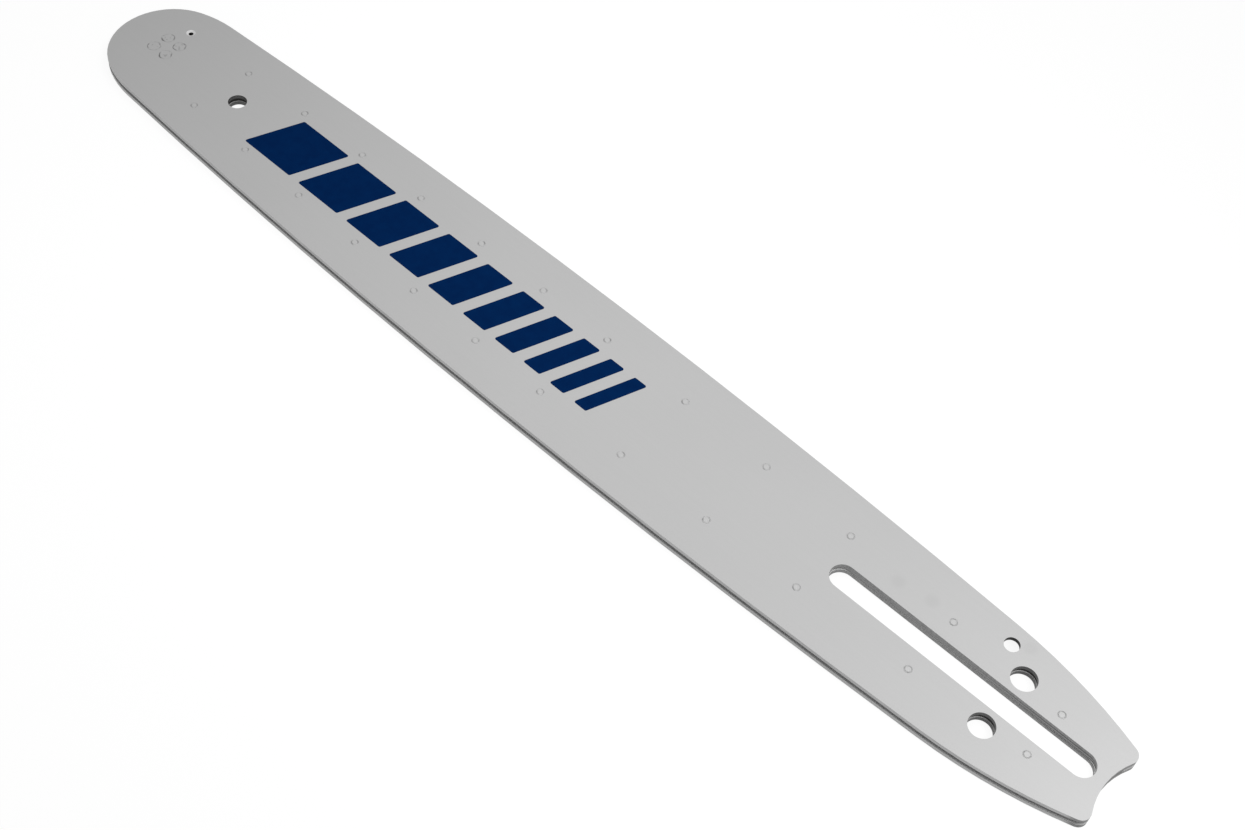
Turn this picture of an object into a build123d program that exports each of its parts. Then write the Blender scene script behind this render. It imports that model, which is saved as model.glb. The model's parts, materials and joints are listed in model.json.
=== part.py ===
"""Laminated chainsaw guide bar with a sprocket nose.

Two side plates are spot-welded to a narrower core plate, whose set-back edge leaves the chain groove.
At the nose a toothed ring turns on rollers around a race that four rivets hold between the plates.

Frame: origin at the centre of the stud slot on the lower face, +X towards the nose, +Z up through the
plates. Millimetres.
"""
import os
from math import acos, asin, atan2, cos, degrees, pi, radians, sin, sqrt, tan

from build123d import *

# Layers
side_plate = 1.4
core = 1.3

# Nose bearing and sprocket, from the race outwards
race_radius = 8.7
roller_diameter = 3.0
roller_gap = 0.07
running_clearance = 0.06
side_clearance = 0.05
ring_wall = 2.3
tooth_depth = 4.1
tooth_count = 9
tooth_tip_width = 2.6
tooth_tip_fillet = 0.5
tooth_to_core = 0.8
tooth_cover = 0.7
sprocket_lead = 2.03

# Blade outline
nose_reach = 355.9
shoulder_step = 0.95
shoulder_radius = 40.0
belly_setback = 197.2
belly_rise = 5.4
tail_land = 3.55
notch_radius = 24.0
taper_length = 43.85
taper_radius = 165.0
tail_corner_fillet = 3.0
groove_depth = 6.0

# Saw mount
slot_length = 88.4
slot_width = 8.2
tensioner_x = -14.75
tensioner_spacing = 19.8
tensioner_diameter = 7.8
core_hole_relief = 0.35
core_slot_relief = 0.12
core_slot_end_relief = 0.5

# Oil passage
oil_hole_x = -6.2
oil_hole_inset = 6.3
oil_hole_diameter = 4.68
oil_slot_width = 5.6
oil_slot_land = 1.1

# Hanging hole, grease hole and rivets
hang_hole_setback = 37.1
hang_hole_diameter = 6.3
grease_hole_diameter = 1.5
grease_sink_diameter = 3.0
grease_sink_angle = 118.0
rivet_spacing = 6.0
rivet_diameter = 3.2
rivet_head_overhang = 0.5
rivet_sink_angle = 120.0
rivet_clearance = 0.04
rivet_flush_drop = 0.05

# Levels of the layers, from the lower face up
core_z = side_plate
upper_z = core_z + core
total_thickness = upper_z + side_plate
turning_z = core_z + side_clearance
turning_thickness = core - 2 * side_clearance

# Radii of the bearing and the toothed ring
roller_circle_radius = race_radius + running_clearance + roller_diameter / 2
bore_radius = race_radius + roller_diameter + 2 * running_clearance
root_radius = bore_radius + ring_wall
tip_radius = root_radius + tooth_depth
roller_pitch_angle = 2 * asin((roller_diameter + roller_gap) / 2 / roller_circle_radius)
roller_count = int(2 * pi / roller_pitch_angle)

# The gullets are arcs from tooth tip to tooth tip that touch the root circle
tip_half_angle = asin(tooth_tip_width / 2 / tip_radius)
gullet_reach = tip_radius * cos(pi / tooth_count - tip_half_angle)
gullet_radius = (tip_radius**2 + root_radius**2 - 2 * gullet_reach * root_radius) / (
    2 * (gullet_reach - root_radius)
)

# The nose arc covers the teeth, and the belly arc passes a small step outside it
nose_radius = tip_radius + tooth_cover + sprocket_lead
nose_x = nose_reach - nose_radius
sprocket_x = nose_x + sprocket_lead
hang_hole_x = sprocket_x - hang_hole_setback
stepped_radius = nose_radius + shoulder_step
half_width = stepped_radius + belly_rise
belly_x = nose_reach - belly_setback
belly_reach = nose_x - belly_x
belly_radius = (belly_reach**2 + half_width**2 - stepped_radius**2) / (2 * belly_rise)
belly_y = half_width - belly_radius

# The shoulder arc touches both, so the three arc centres are the corners of a triangle with known sides
belly_to_nose = belly_radius - stepped_radius
belly_to_shoulder = belly_radius - shoulder_radius
nose_to_shoulder = shoulder_radius - nose_radius
shoulder_turn = acos(
    (belly_to_nose**2 + belly_to_shoulder**2 - nose_to_shoulder**2) / (2 * belly_to_nose * belly_to_shoulder)
)
shoulder_bearing = atan2(-belly_y, belly_reach) + shoulder_turn
shoulder_x = belly_x + belly_to_shoulder * cos(shoulder_bearing)
shoulder_y = belly_y + belly_to_shoulder * sin(shoulder_bearing)
shoulder_angle = degrees(shoulder_bearing)
nose_angle = degrees(atan2(-shoulder_y, nose_x - shoulder_x))

# The tail follows the slot's end, and the taper arc runs from the belly arc on past the notch
notch_x = -slot_length / 2 - tail_land
notch_centre_x = notch_x - notch_radius
taper_x = notch_x + taper_length
tail_x = notch_x - notch_radius / 3
taper_angle = degrees(acos((taper_x - belly_x) / belly_radius))
belly_to_taper = belly_radius - taper_radius
taper_centre_x = belly_x + belly_to_taper * cos(radians(taper_angle))
taper_centre_y = belly_y + belly_to_taper * sin(radians(taper_angle))
tail_angle = degrees(acos((tail_x - taper_centre_x) / taper_radius))

# The oil hole sits in from the rail, and its slot reaches to a narrow land beside the rail
if oil_hole_x < taper_x:
    oil_rail_y = taper_centre_y + sqrt(taper_radius**2 - (oil_hole_x - taper_centre_x) ** 2)
else:
    oil_rail_y = belly_y + sqrt(belly_radius**2 - (oil_hole_x - belly_x) ** 2)
oil_hole_y = oil_hole_inset - oil_rail_y
oil_slot_reach = oil_hole_inset - oil_slot_width / 2 - oil_slot_land
rivet_head_diameter = rivet_diameter + 2 * rivet_head_overhang


def blade_outline(inset):
    """Add the blade's outline to the sketch, set in from the rail, with a plain tail end."""
    with BuildLine() as rim:
        CenterArc((nose_x, 0), nose_radius - inset, 0, nose_angle)
        CenterArc(
            (shoulder_x, shoulder_y),
            shoulder_radius - inset,
            nose_angle,
            shoulder_angle - nose_angle,
        )
        CenterArc((belly_x, belly_y), belly_radius - inset, shoulder_angle, taper_angle - shoulder_angle)
        taper = CenterArc(
            (taper_centre_x, taper_centre_y),
            taper_radius - inset,
            taper_angle,
            tail_angle - taper_angle,
        )
        Line(taper @ 1, ((taper @ 1).X, 0))
        mirror(about=Plane.XZ)
    make_face(rim.edges())


def tail_notch():
    """Cut the round notch that clears the saw's drive sprocket."""
    with Locations((notch_centre_x, 0)):
        Circle(notch_radius, mode=Mode.SUBTRACT)


def round_holes(relief):
    """Cut the tensioner and hanging holes, larger than in the side plates by the relief all round."""
    with Locations((tensioner_x, 0)):
        with GridLocations(0, tensioner_spacing, 1, 2):
            Circle(tensioner_diameter / 2 + relief, mode=Mode.SUBTRACT)
    with Locations((hang_hole_x, 0)):
        Circle(hang_hole_diameter / 2 + relief, mode=Mode.SUBTRACT)


def oil_slot():
    """Cut the slot that takes oil from the oil hole out to the chain groove."""
    with Locations((oil_hole_x, oil_hole_y - oil_slot_reach / 2)):
        SlotCenterToCenter(oil_slot_reach, oil_slot_width, rotation=90, mode=Mode.SUBTRACT)


def side_plate_outline(sketch):
    """Add a side plate's outline and the openings that both side plates share."""
    blade_outline(0)
    tail_notch()
    fillet(sketch.vertices().sort_by(Axis.X)[:2], tail_corner_fillet)
    SlotOverall(slot_length, slot_width, mode=Mode.SUBTRACT)
    round_holes(0)


def nose_holes(outer_face):
    """Sink the rivet holes and the grease hole from a plate's outer face."""
    with Locations(outer_face):
        with GridLocations(rivet_spacing, rivet_spacing, 2, 2):
            CounterSinkHole(
                rivet_diameter / 2 + rivet_clearance,
                rivet_head_diameter / 2 + rivet_clearance,
                depth=side_plate,
                counter_sink_angle=rivet_sink_angle,
            )
        with Locations((0, -roller_circle_radius)):
            CounterSinkHole(
                grease_hole_diameter / 2,
                grease_sink_diameter / 2,
                depth=side_plate,
                counter_sink_angle=grease_sink_angle,
            )


# Upper side plate, with the round oil hole
with BuildPart() as upper_side_plate:
    with BuildSketch(Plane.XY.offset(upper_z)) as upper_outline:
        side_plate_outline(upper_outline)
        with Locations((oil_hole_x, oil_hole_y)):
            Circle(oil_hole_diameter / 2, mode=Mode.SUBTRACT)
    extrude(amount=side_plate)
    nose_holes(Plane((sprocket_x, 0, total_thickness)))

# Lower side plate: the same blank turned over, with the oil slot under the oil hole
with BuildPart() as lower_side_plate:
    with BuildSketch() as lower_outline:
        side_plate_outline(lower_outline)
        oil_slot()
    extrude(amount=side_plate)
    nose_holes(Plane((sprocket_x, 0, 0), x_dir=(1, 0, 0), z_dir=(0, 0, -1)))

# Core plate: set back from the rail by the groove, and cut round at the nose to clear the teeth
with BuildPart() as core_plate:
    with BuildSketch(Plane.XY.offset(core_z)):
        blade_outline(groove_depth)
        tail_notch()
        with Locations((sprocket_x, 0)):
            Circle(tip_radius + tooth_to_core, mode=Mode.SUBTRACT)
        SlotOverall(
            slot_length + 2 * core_slot_end_relief,
            slot_width + 2 * core_slot_relief,
            mode=Mode.SUBTRACT,
        )
        round_holes(core_hole_relief)
        oil_slot()
    extrude(amount=core)

# Nose sprocket: a ring whose gullets are round cuts between the teeth
with BuildPart() as nose_sprocket:
    with BuildSketch(Plane((sprocket_x, 0, turning_z))) as star:
        Circle(tip_radius)
        with PolarLocations(root_radius + gullet_radius, tooth_count):
            Circle(gullet_radius, mode=Mode.SUBTRACT)
        fillet(star.vertices(), tooth_tip_fillet)
        Circle(bore_radius, mode=Mode.SUBTRACT)
    extrude(amount=turning_thickness)

# Bearing race, clamped between the side plates
with BuildPart() as bearing_race:
    with BuildSketch(Plane((sprocket_x, 0, core_z))):
        Circle(race_radius)
        with GridLocations(rivet_spacing, rivet_spacing, 2, 2):
            Circle(rivet_diameter / 2 + rivet_clearance, mode=Mode.SUBTRACT)
    extrude(amount=core)

# Rivets, headed at both ends and ground just under the plates' faces
rivet_slope = tan(radians(rivet_sink_angle / 2))
rivet_head_depth = rivet_head_overhang / rivet_slope
rivet_face_radius = rivet_head_diameter / 2 - rivet_flush_drop * rivet_slope
with BuildPart() as rivet:
    with BuildSketch(Plane.XZ):
        with BuildLine():
            Polyline(
                (0, rivet_flush_drop),
                (rivet_face_radius, rivet_flush_drop),
                (rivet_diameter / 2, rivet_head_depth),
                (rivet_diameter / 2, total_thickness - rivet_head_depth),
                (rivet_face_radius, total_thickness - rivet_flush_drop),
                (0, total_thickness - rivet_flush_drop),
                close=True,
            )
        make_face()
    revolve(axis=Axis.Z)
with BuildPart() as nose_rivets:
    with Locations((sprocket_x, 0)):
        with GridLocations(rivet_spacing, rivet_spacing, 2, 2):
            add(rivet.part)

# Rollers between the race and the sprocket's bore
bearing_rollers = []
for index in range(roller_count):
    with BuildPart() as bearing_roller:
        with Locations((sprocket_x, 0, turning_z)):
            with PolarLocations(roller_circle_radius, 1, start_angle=index * 360 / roller_count):
                Cylinder(
                    roller_diameter / 2,
                    turning_thickness,
                    align=(Align.CENTER, Align.CENTER, Align.MIN),
                )
    bearing_roller.part.label = f"bearing_roller_{index + 1:02d}"
    bearing_rollers.append(bearing_roller.part)

upper_side_plate.part.label = "upper_side_plate"
lower_side_plate.part.label = "lower_side_plate"
core_plate.part.label = "core_plate"
nose_sprocket.part.label = "nose_sprocket"
bearing_race.part.label = "bearing_race"
nose_rivets.part.label = "nose_rivets"

os.makedirs("parts", exist_ok=True)
export_step(upper_side_plate.part, "parts/upper_side_plate.step")
export_step(lower_side_plate.part, "parts/lower_side_plate.step")
export_step(core_plate.part, "parts/core_plate.step")
export_step(nose_sprocket.part, "parts/nose_sprocket.step")
export_step(bearing_race.part, "parts/bearing_race.step")
export_step(nose_rivets.part, "parts/nose_rivets.step")
for roller in bearing_rollers:
    export_step(roller, f"parts/{roller.label}.step")
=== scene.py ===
import json
from math import cos, pi, radians, sin, tan

import bpy
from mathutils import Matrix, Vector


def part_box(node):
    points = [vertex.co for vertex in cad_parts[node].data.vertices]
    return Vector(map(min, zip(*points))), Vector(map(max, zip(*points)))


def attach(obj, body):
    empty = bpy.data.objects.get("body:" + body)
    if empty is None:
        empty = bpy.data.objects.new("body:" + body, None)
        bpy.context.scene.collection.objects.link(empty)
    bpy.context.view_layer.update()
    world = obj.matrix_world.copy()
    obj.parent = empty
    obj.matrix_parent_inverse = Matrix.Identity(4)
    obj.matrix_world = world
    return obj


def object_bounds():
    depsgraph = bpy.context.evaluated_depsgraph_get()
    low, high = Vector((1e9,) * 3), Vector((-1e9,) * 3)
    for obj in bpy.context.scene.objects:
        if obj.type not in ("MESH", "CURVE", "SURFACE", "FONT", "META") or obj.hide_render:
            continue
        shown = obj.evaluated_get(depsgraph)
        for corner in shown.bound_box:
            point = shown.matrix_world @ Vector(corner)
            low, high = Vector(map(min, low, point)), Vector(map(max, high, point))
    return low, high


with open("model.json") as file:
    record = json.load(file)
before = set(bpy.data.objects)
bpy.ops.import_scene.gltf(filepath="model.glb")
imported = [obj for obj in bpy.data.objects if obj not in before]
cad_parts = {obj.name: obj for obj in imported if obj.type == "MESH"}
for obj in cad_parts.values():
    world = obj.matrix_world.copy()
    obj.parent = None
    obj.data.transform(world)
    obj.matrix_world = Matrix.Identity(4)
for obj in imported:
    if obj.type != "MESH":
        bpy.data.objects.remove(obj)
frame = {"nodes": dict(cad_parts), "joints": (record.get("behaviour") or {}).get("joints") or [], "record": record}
cad_low, cad_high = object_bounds()


# Core plate: a narrower strip of spring steel between the side plates. Its set-back edge is the floor
# of the chain groove, left as rolled and darkened by bar oil.
mm = 0.001
cad_nodes = frame["nodes"]
core_low_z, core_high_z = (corner[2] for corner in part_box("core_plate"))
core_middle_z = (core_low_z + core_high_z) / 2
bores = [mount for mount in frame["record"]["mounts"] if mount["kind"] == "bore"]
core_dark = (0.055, 0.053, 0.050, 1.0)
core_light = (0.135, 0.132, 0.128, 1.0)
core_bore_and_shade = (0.020, 0.019, 0.018, 1.0)
# Each span runs from where a mask begins to where it is full.
slot_span_x = (47 * mm, 46 * mm)
slot_span_y = (5.5 * mm, 4.95 * mm)
joint_span = (0.22 * mm, 0.06 * mm)
under_plate_shade_span = (0.5 * mm, 0.1 * mm)
tail_span = (5 * mm, -35 * mm)
under_plate_shade_strength = 0.75
bore_margin = 0.8 * mm
mask_edge = 0.4 * mm


class Wire:
    """A node socket in a Python expression: each operator adds a Math node to the socket's tree."""

    def __init__(self, socket):
        self.socket = socket

    def node(self, kind, inputs, output=0, **settings):
        """Add a node to this socket's tree, settings first, and give one of its outputs."""
        tree = self.socket.id_data
        made = tree.nodes.new(kind)
        for name, value in settings.items():
            setattr(made, name, value)
        for name, value in inputs.items():
            for one in value if isinstance(value, list) else [value]:
                if isinstance(one, Wire):
                    tree.links.new(one.socket, made.inputs[name])
                else:
                    made.inputs[name].default_value = one
        return Wire(made.outputs[output]) if made.outputs else None

    def math(self, operation, *values):
        return self.node("ShaderNodeMath", dict(enumerate(values)), operation=operation)

    def __add__(self, other):
        return self.math("ADD", self, other)

    def __sub__(self, other):
        return self.math("SUBTRACT", self, other)

    def __rsub__(self, other):
        return self.math("SUBTRACT", other, self)

    def __mul__(self, other):
        return self.math("MULTIPLY", self, other)

    def __truediv__(self, other):
        return self.math("DIVIDE", self, other)

    def __pow__(self, other):
        return self.math("POWER", self, other)

    def __abs__(self):
        return self.math("ABSOLUTE", self)

    __radd__ = __add__
    __rmul__ = __mul__

    def rise(self, start, end):
        """Go smoothly from 0 to 1 while this value goes from start to end."""
        inputs = {"Value": self, "From Min": start, "From Max": end}
        return self.node("ShaderNodeMapRange", inputs, interpolation_type="SMOOTHSTEP")

    def mix(self, low, high):
        """Blend two colours by this value."""
        return self.node("ShaderNodeMix", {0: self, 6: low, 7: high}, output=2, data_type="RGBA")

    def axes(self):
        """Give the X, Y and Z of this vector."""
        split = self.node("ShaderNodeSeparateXYZ", {0: self}).socket.node
        return [Wire(output) for output in split.outputs]

    def distance(self, point):
        """Give how far this place is from a point."""
        inputs = {0: self, 1: point}
        return self.node("ShaderNodeVectorMath", inputs, output="Value", operation="DISTANCE")

    def off_axis(self, x, y):
        """Give how far this place is from an upright axis."""
        flat = self.node("ShaderNodeVectorMath", {0: self, 1: (1, 1, 0)}, operation="MULTIPLY")
        return flat.distance((x, y, 0))

    def grain(self, length, width, depth, detail=2.0):
        """Give noise whose grains have about this length, width and depth along X, Y and Z."""
        scale = (1 / length, 1 / width, 1 / depth)
        stretched = self.node("ShaderNodeMapping", {"Vector": self, "Scale": scale})
        return self.node("ShaderNodeTexNoise", {"Vector": stretched, "Scale": 1.0, "Detail": detail})


def grey(brightness):
    return (brightness, brightness, brightness, 1.0)


def start_finish(name):
    """Make an empty material, and give it with its Object coordinates."""
    finish = bpy.data.materials.new(name)
    finish.use_nodes = True
    finish.node_tree.nodes.clear()
    return finish, Wire(finish.node_tree.nodes.new("ShaderNodeTexCoord").outputs["Object"])


def close_finish(height, bump_depth, surface):
    """Join the surface's sockets and its bump to the material's output."""
    bump = height.node("ShaderNodeBump", {"Height": height, "Strength": 1.0, "Distance": bump_depth})
    shader = bump.node("ShaderNodeBsdfPrincipled", {**surface, "Normal": bump})
    shader.node("ShaderNodeOutputMaterial", {"Surface": shader})


def cover(finish, *names):
    """Give CAD nodes this finish."""
    for name in names:
        cad_nodes[name].material_slots[0].material = finish


# Slot wall and joint greys: partly bare steel and dark joints, partly painted shade on the walls.
slot_wall_and_shade_grey = grey(0.27)
joint_and_shade_grey = grey(0.05)
core_finish, place = start_finish("oiled_core_steel")
rolling = place.grain(14 * mm, 0.5 * mm, 0.5 * mm)
oil = place.grain(9 * mm, 9 * mm, 9 * mm, detail=3.0)
oiled = (0.5 * rolling + 0.5 * oil).rise(0.3, 0.7).mix(core_dark, core_light)


def in_slot(place):
    """Give 1 on the walls of the stud slot, which the saw's studs rub clean."""
    x, y, _ = place.axes()
    return abs(y).rise(*slot_span_y) * abs(x).rise(*slot_span_x)


def in_bores(place):
    """Give 1 on the walls of the tensioner holes and the hanging hole."""
    masks = []
    for mount in bores:
        x, y, _ = mount["pos_m"]
        reach = mount["dims"]["r_mm"] * mm + bore_margin
        masks.append(place.off_axis(x, y).rise(reach + mask_edge, reach))
    return sum(masks)


def off_joint(place):
    """Give how far this place is above or below the nearer joint of the layers."""
    z = place.axes()[2]
    return abs(abs(z - core_middle_z) - (core_high_z - core_middle_z))


def tailward(place):
    """Go from 0 to 1 along the tail half of the slot, where the painted shade under the side plates deepens."""
    return place.axes()[0].rise(*tail_span)


def layer_joint(place):
    """Mark the fine dark line where a side plate meets the core plate. It is plainer towards the tail, where
    painted shade is added to it.
    """
    return off_joint(place).rise(*joint_span) * (0.3 + 0.5 * tailward(place))


def slot_wall(place):
    """Give the colour of the slot's walls, with painted shade along the joints that deepens at the tail."""
    # Painted shade under the side plates' edges, stronger towards the tail.
    under_plate_shaded = off_joint(place).rise(*under_plate_shade_span) * tailward(place)
    return (under_plate_shade_strength * under_plate_shaded).mix(slot_wall_and_shade_grey, joint_and_shade_grey)


# The core's bore walls are painted near black, partly as painted shade in the holes.
close_finish(rolling, 0.01 * mm, {
    "Base Color": in_bores(place).mix(in_slot(place).mix(oiled, slot_wall(place)), core_bore_and_shade),
    "Roughness": 0.42 + 0.2 * oil,
    "Metallic": 0.7,
})
cover(core_finish, "core_plate")


# Bearing race: a hardened steel disc that four rivets clamp between the side plates. Its rim is ground
# bright as the inner track of the rollers.
sprocket_joint = next(joint for joint in frame["joints"] if joint["name"] == "sprocket_spin")
nose_centre = tuple(sprocket_joint["pos_m"])
race_dark = (0.40, 0.40, 0.41, 1.0)
race_light = (0.62, 0.62, 0.63, 1.0)
race_finish, place = start_finish("ground_race_steel")
ground = place.grain(2.5 * mm, 2.5 * mm, 0.06 * mm)
close_finish(ground, 0.003 * mm, {
    "Base Color": ground.rise(0.25, 0.75).mix(race_dark, race_light),
    "Roughness": 0.22 + 0.14 * ground,
    "Metallic": 1.0,
})
cover(race_finish, "bearing_race")


# Bearing rollers: loose hardened pins in a full ring with no cage, bright from running and wet with
# grease. Their ends are caked in old black grease.
roller_names = sorted(name for name in cad_nodes if name.startswith("bearing_roller"))
grease_amber = (0.30, 0.24, 0.15, 1.0)
roller_bright = (0.66, 0.66, 0.67, 1.0)
grease_black = (0.010, 0.009, 0.008, 1.0)
roller_finish, place = start_finish("greased_roller_steel")
film = place.grain(1.1 * mm, 1.1 * mm, 0.8 * mm, detail=3.0)
wetted = film.rise(0.42, 0.68).mix(roller_bright, grease_amber)


def level(place):
    """Give 1 on level faces and 0 on standing walls."""
    return abs(place.node("ShaderNodeTexCoord", {}, output="Normal").axes()[2])


blackened = level(place).rise(0.5, 0.9)
close_finish(film, 0.004 * mm, {
    "Base Color": blackened.mix(wetted, grease_black),
    "Roughness": 0.16 + 0.2 * film + 0.3 * blackened,
    "Metallic": 1 - blackened,
})
cover(roller_finish, *roller_names)


# Nose sprocket: a toothed ring stamped from alloy steel and hardened, which leaves a straw tint on the
# teeth. It turns on the rollers and lifts the chain clear of the nose's rails.
sprocket_low, sprocket_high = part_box("nose_sprocket")
tooth_tip = (sprocket_high[1] - sprocket_low[1]) / 2
sprocket_dark = (0.27, 0.27, 0.28, 1.0)
sprocket_light = (0.43, 0.43, 0.44, 1.0)
tempered = (0.36, 0.29, 0.21, 1.0)
sprocket_finish, place = start_finish("hardened_sprocket_steel")
scale = place.grain(0.7 * mm, 0.7 * mm, 0.7 * mm, detail=4.0)
steel = scale.rise(0.3, 0.7).mix(sprocket_dark, sprocket_light)
tint = 0.6 * place.distance(nose_centre).rise(0.78 * tooth_tip, tooth_tip)
close_finish(scale, 0.006 * mm, {
    "Base Color": tint.mix(steel, tempered),
    "Roughness": 0.3 + 0.18 * scale,
    "Metallic": 0.9,
})
cover(sprocket_finish, "nose_sprocket")


# Side plates: two blanks of 1.4 mm steel, punched with the slot and the holes and coated silver-grey.
# The rails are ground bare, and the other cut walls are painted darker: partly bare cut steel, partly
# painted shade. The grease hole's countersink is bright where the cutter cleared the coat.
grease_radius = sum(corner[0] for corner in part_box("bearing_roller_01")) / 2 - nose_centre[0]
grease_bore = 0.75 * mm
grease_sink = 1.5 * mm
grease_bore_shade_span = (grease_bore + 0.08 * mm, grease_bore + 0.02 * mm)
sink_span = (grease_sink + 0.15 * mm, grease_sink)
rivet_spacing = 6.0 * mm
rivet_head = 4.2 * mm
seam_wobble = 0.9 * mm
seam_span = (0.34 * mm, 0.06 * mm)
oil_hole = (-6.2 * mm, -16.3 * mm)
oil_hole_reach = 3.8 * mm
notch_span_x = (-45 * mm, -48 * mm)
ledge_span_x = (40 * mm, 42 * mm)
ledge_span_z = (0.2 * mm, 0.1 * mm)
peel_grain = (0.45 * mm, 0.45 * mm, 0.45 * mm)
coat_bump = 0.003 * mm
coat_dark = grey(0.498)
coat_light = grey(0.514)
smudge_grey = grey(0.44)
rail_dark = grey(0.34)
rail_light = grey(0.46)
notch_wall_and_shade_grey = grey(0.22)
ledge_highlight_grey = grey(0.9)
bore_wall_and_shade_grey = grey(0.11)
oil_hole_shade_grey = grey(0.02)
sink_steel = grey(0.78)
seam_and_shade_grey = grey(0.13)
smudges = ((28.3 * mm, -9.9 * mm), (17.8 * mm, -11.6 * mm), (-10.4 * mm, -19.0 * mm))
smudge_radius = 3 * mm
# Angle of the painted shade on the rivet seams and the weld rings.
shade_lean = radians(60)


def rivet_seam(place):
    """Mark the uneven seam round each of the four rivet heads, and the pits in the heads. The seam is darker on
    two opposite sides, as painted shade of the heads' relief.
    """
    x, y, _ = place.axes()
    from_nose = x - nose_centre[0]
    along = from_nose - rivet_spacing / 2 * from_nose.math("SIGN", from_nose)
    across = y - rivet_spacing / 2 * y.math("SIGN", y)
    reach = (along * along + across * across) ** 0.5
    uneven = place.grain(1.3 * mm, 1.3 * mm, 1.3 * mm, detail=1.0)
    line = abs(reach - rivet_head / 2 + seam_wobble * (uneven - 0.5)).rise(*seam_span)
    # Painted shade: the seam darkens most on the two sides set by the lean angle, as the heads' relief would shade
    # them.
    facing = (cos(shade_lean) * along + sin(shade_lean) * across) / reach
    shade_arcs = 0.15 + 0.85 * facing.rise(0.5, 0.95) + 0.5 * facing.rise(-0.55, -0.95)
    pits = reach.rise(0.4 * rivet_head, 0.3 * rivet_head) * uneven.rise(0.57, 0.64)
    return line * shade_arcs * uneven.rise(0.25, 0.55) + 0.35 * pits


def plate_finish(name, grease_y):
    """Make the coat of one side plate, whose grease hole is this far across the bar."""
    finish, place = start_finish(name)
    x, _, z = place.axes()
    wall = level(place).rise(0.8, 0.3)
    off_grease = place.off_axis(nose_centre[0], grease_y)
    sink = off_grease.rise(*sink_span)
    blackened = off_grease.rise(*grease_bore_shade_span)
    mottle = place.grain(45 * mm, 30 * mm, 30 * mm)
    rolling = place.grain(20 * mm, 0.6 * mm, 5 * mm)
    peel = place.grain(*peel_grain)
    shear = place.grain(0.25 * mm, 0.25 * mm, 2.5 * mm)
    ground = place.grain(6 * mm, 6 * mm, 0.12 * mm)
    coat = (0.5 * mottle + 0.3 * rolling + 0.2 * peel).rise(0.3, 0.7).mix(coat_dark, coat_light)
    for smudge in smudges:
        spot = place.distance((*smudge, cad_high[2])).rise(smudge_radius, 0.3 * smudge_radius)
        coat = (0.35 * spot).mix(coat, smudge_grey)
    coat = rivet_seam(place).mix(coat, seam_and_shade_grey)
    # Painted highlight: a light strip on the lower plate's face at the slot's ends stands in for light falling on
    # the ledge where the core is set back.
    ledge_highlight = in_slot(place) * abs(x).rise(*ledge_span_x) * abs(z - core_low_z).rise(*ledge_span_z)
    coat = ledge_highlight.mix(coat, ledge_highlight_grey)
    walls = ground.rise(0.3, 0.7).mix(rail_dark, rail_light)
    # Cut walls: bare cut steel whose greys are darkened as painted shade, most of all in the oil hole and the
    # bores.
    cut_and_shaded_walls = (
        (x.rise(*notch_span_x), notch_wall_and_shade_grey),
        (in_slot(place), slot_wall(place)),
        (in_bores(place), bore_wall_and_shade_grey),
        (place.off_axis(*oil_hole).rise(oil_hole_reach + mask_edge, oil_hole_reach), oil_hole_shade_grey),
    )
    for mask, colour in cut_and_shaded_walls:
        walls = mask.mix(walls, colour)
    cut = sum(mask for mask, colour in cut_and_shaded_walls)
    walls = layer_joint(place).mix(walls, joint_and_shade_grey)
    # Painted shade: a further uneven darkening of the cut walls, following the shear marks.
    walls = (0.3 * cut * shear.rise(0.4, 0.7)).mix(walls, joint_and_shade_grey)
    # Painted shade: the grease bore's wall is painted near black inside the hole.
    sunk = blackened.mix(sink_steel, grease_black)
    marks = cut * shear + (1 - cut) * ground
    close_finish((1 - wall) * peel + wall * marks, coat_bump, {
        "Base Color": sink.mix(wall.mix(coat, walls), sunk),
        "Roughness": 0.46 + 0.1 * mottle,
        "Metallic": 0.8 * wall * (1 - sink),
    })
    return finish


cover(plate_finish("lower_plate_coat", grease_radius), "lower_side_plate")
cover(plate_finish("upper_plate_coat", -grease_radius), "upper_side_plate")


# Nose rivets: four steel rivets headed into countersinks on both faces, ground flush and coated with the
# plates, so that only a faint seam shows round each head.
rivet_finish, place = start_finish("coated_rivet")
peel = place.grain(*peel_grain)
coat = peel.rise(0.3, 0.7).mix(coat_dark, coat_light)
# The seam colour is partly a dark joint, partly painted shade.
close_finish(peel, coat_bump, {
    "Base Color": rivet_seam(place).mix(coat, seam_and_shade_grey),
    "Roughness": 0.46 + 0.1 * peel,
    "Metallic": 0.0,
})
cover(rivet_finish, "nose_rivets")


# Spot welds: two rows that join the three plates, made by round electrodes that left a shallow ring with
# a low crown on both faces. The rows bow with the rails, and the pitch widens from the nose to the tail.
first_weld_x = 308 * mm
weld_runs = ((27.3 * mm, 6), (32.35 * mm, 3), (37.7 * mm, 2))
weld_row_offset = 14.65 * mm
weld_bow_middle = 170 * mm
weld_bow_radius = 3050 * mm
weld_sizes = {
    "Diameter": 2.6 * mm,
    "Ring Height": 0.05 * mm,
    "Crown Height": 0.035 * mm,
    "Skirt": 0.012 * mm,
}
ring_inner = 0.55
ring_outer = 0.85
ring_fade_x = (0.0, 85 * mm)
weld_ring_shade_grey = grey(0.24)
weld_crown_highlight_grey = grey(0.53)


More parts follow.
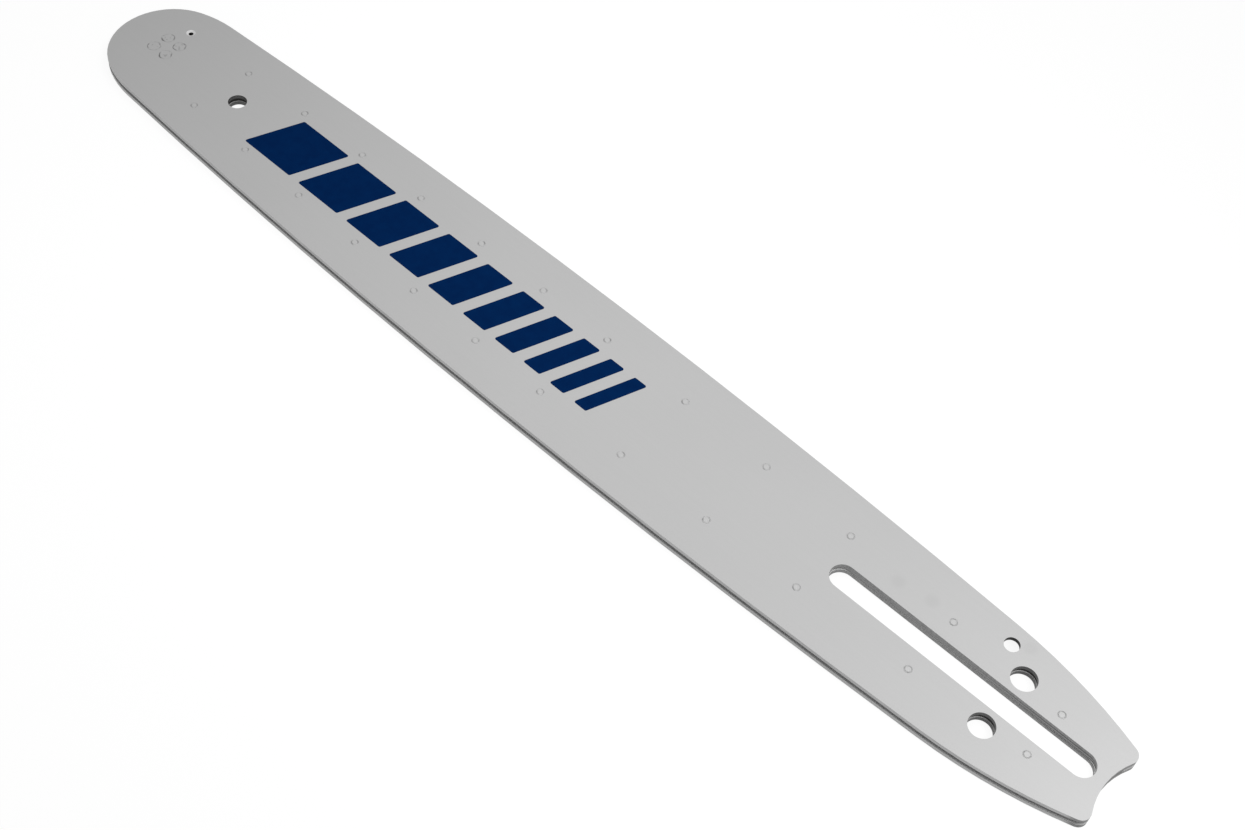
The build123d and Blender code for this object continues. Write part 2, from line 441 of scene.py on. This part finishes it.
def start_tree(name, sizes):
    """Make a Geometry Nodes tree with these named inputs, and give it with a wire from each."""
    tree = bpy.data.node_groups.new(name, "GeometryNodeTree")
    tree.interface.new_socket("Geometry", in_out="INPUT", socket_type="NodeSocketGeometry")
    for size, value in sizes.items():
        kind = "NodeSocketInt" if isinstance(value, int) else "NodeSocketFloat"
        tree.interface.new_socket(size, in_out="INPUT", socket_type=kind)
    tree.interface.new_socket("Geometry", in_out="OUTPUT", socket_type="NodeSocketGeometry")
    entry = tree.nodes.new("NodeGroupInput")
    return tree, {output.name: Wire(output) for output in entry.outputs if output.name}


def close_tree(geometry, finish):
    """End a tree in plain geometry with its material."""
    plain = geometry.node("GeometryNodeRealizeInstances", {"Geometry": geometry})
    covered = plain.node("GeometryNodeSetMaterial", {"Geometry": plain, "Material": finish})
    covered.node("NodeGroupOutput", {"Geometry": covered})


def make_piece(name, tree, sizes, points=()):
    """Run a tree on these points, and keep its result as a plain mesh that rides on the bar."""
    start = bpy.data.meshes.new(name)
    start.from_pydata(points, [], [])
    piece = bpy.data.objects.new(name, start)
    bpy.context.scene.collection.objects.link(piece)
    modifier = piece.modifiers.new(name, "NODES")
    modifier.node_group = tree
    for item in tree.interface.items_tree:
        if item.in_out == "INPUT" and item.name in sizes:
            modifier[item.identifier] = sizes[item.name]
    evaluated = piece.evaluated_get(bpy.context.evaluated_depsgraph_get())
    mesh = bpy.data.meshes.new_from_object(evaluated)
    piece.modifiers.remove(modifier)
    piece.data = mesh
    mesh.name = name
    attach(piece, "bar")
    return piece


# Weld colour: the ring is painted darker as painted shade of its slopes, unevenly, most on the sides set by the
# lean angle and all round towards the tail; the crown is a painted highlight, a little lighter than the coat.
weld_finish, place = start_finish("coated_weld")
reach = place.node("ShaderNodeAttribute", {}, output="Fac", attribute_name="weld_reach")
facing = place.node("ShaderNodeAttribute", {}, output="Fac", attribute_name="weld_facing")
peel = place.grain(0.3 * mm, 0.3 * mm, 0.3 * mm)
ring = reach.rise(ring_inner, 0.72) * reach.rise(0.98, ring_outer)
uneven_shade = 0.4 + 0.6 * place.grain(1.4 * mm, 1.4 * mm, 1.4 * mm).rise(0.35, 0.65)
shade_arcs = 1 - 0.8 * facing.rise(0.95, 0.4) * place.axes()[0].rise(*ring_fade_x)
ringed = (ring * uneven_shade * shade_arcs).mix(coat_light, weld_ring_shade_grey)
close_finish(peel, 0.005 * mm, {
    "Base Color": reach.rise(0.5, 0.1).mix(ringed, weld_crown_highlight_grey),
    "Roughness": 0.4 + 0.1 * peel,
    "Metallic": 0.0,
})

weld_tree, size = start_tree("spot_weld_rows", weld_sizes)
weld_radius = size["Diameter"] / 2
disc = weld_radius.node("GeometryNodeMeshCone", {
    "Vertices": 32, "Side Segments": 12, "Radius Top": 0.0, "Radius Bottom": weld_radius, "Depth": 0.0,
}, fill_type="NGON")
spot = disc.node("GeometryNodeInputPosition", {})
along, across, _ = spot.axes()
from_middle = spot.distance((0, 0, 0))
reach = from_middle / weld_radius
# How far each spot of the disc lies along the lean angle, which places the painted shade.
facing = abs(cos(shade_lean) * along + sin(shade_lean) * across) / from_middle
height = (
    size["Ring Height"] * reach.rise(1.0, ring_outer) * reach.rise(ring_inner, 0.8)
    + size["Crown Height"] * reach.rise(0.6, 0.15)
    + size["Skirt"] * (reach.rise(1.0, 0.92) * 2 - 1)
)
lift = height.node("ShaderNodeCombineXYZ", {"Z": height})
marked = disc.node("GeometryNodeSetPosition", {"Geometry": disc, "Offset": lift})
for mark, value in (("weld_reach", reach), ("weld_facing", facing)):
    marked = marked.node(
        "GeometryNodeStoreNamedAttribute",
        {"Geometry": marked, "Name": mark, "Value": value},
        data_type="FLOAT",
        domain="POINT",
    )
smooth = marked.node("GeometryNodeSetShadeSmooth", {"Geometry": marked})
upper_welds = smooth.node("GeometryNodeInstanceOnPoints", {
    "Points": size["Geometry"], "Instance": smooth,
})
lower_welds = upper_welds.node("GeometryNodeTransform", {
    "Geometry": upper_welds, "Translation": (0, 0, cad_low[2] + cad_high[2]), "Rotation": (pi, 0, 0),
})
both_faces = upper_welds.node("GeometryNodeJoinGeometry", {"Geometry": [upper_welds, lower_welds]})
close_tree(both_faces, weld_finish)

weld_x = [first_weld_x]
for pitch, count in weld_runs:
    weld_x += [weld_x[-1] - pitch * step for step in range(1, count + 1)]
weld_points = []
for x in weld_x:
    row_y = weld_row_offset - (x - weld_bow_middle) ** 2 / (2 * weld_bow_radius)
    weld_points += [(x, side * row_y, cad_high[2]) for side in (-1, 1)]
make_piece("spot_welds", weld_tree, weld_sizes, weld_points)


# Side print: a plain row of slanted bars in dark blue ink, screen-printed on the upper coat. The bars
# narrow towards the tail.
print_end_x = 281 * mm
print_sizes = {
    "Bars": 10,
    "First Width": 22 * mm,
    "Shrink": 0.847,
    "Gap": 4.2 * mm,
    "Height": 20 * mm,
    "Slope": tan(radians(18)),
    "Corner": 0.6 * mm,
    "Film": 0.03 * mm,
}
print_bedding = 0.01 * mm
merge_reach = 0.002 * mm
ink_dark = (0.0002, 0.0149, 0.076, 1.0)
ink_light = (0.0004, 0.0190, 0.090, 1.0)

ink_finish, place = start_finish("dark_blue_ink")
lay = place.grain(3 * mm, 3 * mm, 3 * mm, detail=3.0)
mesh_mark = place.grain(0.25 * mm, 0.25 * mm, 0.25 * mm)
close_finish(mesh_mark, 0.004 * mm, {
    "Base Color": (0.6 * lay + 0.4 * mesh_mark).rise(0.3, 0.7).mix(ink_dark, ink_light),
    "Roughness": 0.5 + 0.12 * lay,
    "Specular IOR Level": 0.01,
})

print_tree, size = start_tree("slanted_bar_row", print_sizes)
index = size["Bars"].node("GeometryNodeInputIndex", {})
shrunk = size["Shrink"] ** index
width = size["First Width"] * shrunk
start = size["First Width"] * (1 - shrunk) / (1 - size["Shrink"]) + size["Gap"] * index
middle = width.node("ShaderNodeCombineXYZ", {"X": print_end_x - start - width / 2})
line = index.node("GeometryNodeMeshLine", {"Count": size["Bars"], "Offset": (0, 0, 0)})
spaced = line.node("GeometryNodeSetPosition", {"Geometry": line, "Position": middle})
outline = line.node("GeometryNodeCurvePrimitiveQuadrilateral", {
    "Width": 1.0, "Height": size["Height"],
})
stretch = width.node("ShaderNodeCombineXYZ", {"X": width, "Y": 1.0, "Z": 1.0})
bars = line.node("GeometryNodeInstanceOnPoints", {
    "Points": spaced, "Instance": outline, "Scale": stretch,
})
plain = bars.node("GeometryNodeRealizeInstances", {"Geometry": bars})
lean = plain.node("GeometryNodeInputPosition", {}).axes()[1] * size["Slope"]
slanted = plain.node("GeometryNodeSetPosition", {
    "Geometry": plain, "Offset": lean.node("ShaderNodeCombineXYZ", {"X": lean}),
})
rounded = slanted.node(
    "GeometryNodeFilletCurve",
    {"Curve": slanted, "Count": 4, "Radius": size["Corner"], "Limit Radius": True},
    mode="POLY",
)
bottom = rounded.node("GeometryNodeFillCurve", {"Curve": rounded}, mode="NGONS")
top = bottom.node("GeometryNodeExtrudeMesh", {
    "Mesh": bottom,
    "Offset": (0, 0, 1),
    "Offset Scale": size["Film"] + print_bedding,
    "Individual": False,
})
flipped = bottom.node("GeometryNodeFlipFaces", {"Mesh": bottom})
both = top.node("GeometryNodeJoinGeometry", {"Geometry": [top, flipped]})
closed = both.node("GeometryNodeMergeByDistance", {"Geometry": both, "Distance": merge_reach})
printed = closed.node("GeometryNodeSetPosition", {
    "Geometry": closed, "Offset": (0, 0, cad_high[2] - print_bedding),
})
close_tree(printed, ink_finish)
make_piece("side_print", print_tree, print_sizes)


# Floor: a plain white sweep. The camera, and what mirrors or lets light through, sees it lit from within,
# so it stays white and keeps only a soft shadow of the bar.
floor_reach = 12.0
floor_drop = 0.2 * mm
paper_grain = (0.4, 0.4, 0.4)
paper_dark = grey(0.68)
paper_light = grey(0.72)
shadow_grey = grey(0.14)
glow_level = 0.9
floor_z = cad_low[2] - floor_drop
corner_signs = ((-1, -1), (1, -1), (1, 1), (-1, 1))
corners = [(x * floor_reach, y * floor_reach, floor_z) for x, y in corner_signs]
floor_mesh = bpy.data.meshes.new("floor")
floor_mesh.from_pydata(corners, [], [(0, 1, 2, 3)])
floor = bpy.data.objects.new("floor", floor_mesh)
bpy.context.scene.collection.objects.link(floor)


def seen_directly(wire):
    """Give 1 for rays from the camera, from mirrors and through glass."""
    camera = wire.node("ShaderNodeLightPath", {}, output="Is Camera Ray")
    mirror = wire.node("ShaderNodeLightPath", {}, output="Is Glossy Ray")
    glass = wire.node("ShaderNodeLightPath", {}, output="Is Transmission Ray")
    return camera.math("MAXIMUM", camera, mirror.math("MAXIMUM", mirror, glass))


floor_finish, place = start_finish("white_sweep")
speck = place.grain(*paper_grain)
paper = place.node("ShaderNodeBsdfPrincipled", {
    "Base Color": speck.mix(paper_dark, paper_light), "Roughness": 1.0, "Specular IOR Level": 0.0,
})
faint = place.node("ShaderNodeBsdfDiffuse", {"Color": shadow_grey})
glow = place.node("ShaderNodeEmission", {"Color": grey(1.0), "Strength": glow_level})
white = place.node("ShaderNodeAddShader", {0: faint, 1: glow})
shown = place.node("ShaderNodeMixShader", {0: seen_directly(place), 1: paper, 2: white})
shown.node("ShaderNodeOutputMaterial", {"Surface": shown})
floor_mesh.materials.append(floor_finish)


# Studio: a wide softbox over the middle, a nearer one over the tail, an even white surround, and a camera
# that looks down over the tail as the photograph does.
surround_level = 0.52
softboxes = (
    ("middle_softbox", (0.155, -0.04, 0.275), 0.22, 0.42),
    ("tail_softbox", (-0.11, 0.0, 0.155), 0.10, 0.20),
)
camera_place = (-0.0705, 0.2567, 0.4132)
camera_turn = (37.629, -4.502, -137.064)
camera_lens = 50.9
camera_sensor = 36.0

for name, position, side, power in softboxes:
    softbox = bpy.data.objects.new(name, bpy.data.lights.new(name, "AREA"))
    softbox.data.size = side
    softbox.data.energy = power
    softbox.location = position
    softbox.visible_camera = False
    bpy.context.scene.collection.objects.link(softbox)

surround = bpy.data.worlds.new("white_surround")
surround.use_nodes = True
surround.node_tree.nodes.clear()
light = Wire(surround.node_tree.nodes.new("ShaderNodeBackground").outputs[0])
light.socket.node.inputs["Strength"].default_value = surround_level
backdrop = light.node("ShaderNodeBackground", {"Color": grey(1.0), "Strength": 1.0})
sky = light.node("ShaderNodeMixShader", {0: seen_directly(light), 1: light, 2: backdrop})
sky.node("ShaderNodeOutputWorld", {"Surface": sky})
bpy.context.scene.world = surround

camera = bpy.data.objects.new("camera", bpy.data.cameras.new("camera"))
camera.data.sensor_width = camera_sensor
camera.data.lens = camera_lens
camera.location = camera_place
camera.rotation_euler = [radians(angle) for angle in camera_turn]
bpy.context.scene.collection.objects.link(camera)
bpy.context.scene.camera = camera
bpy.context.scene.view_settings.view_transform = "Standard"
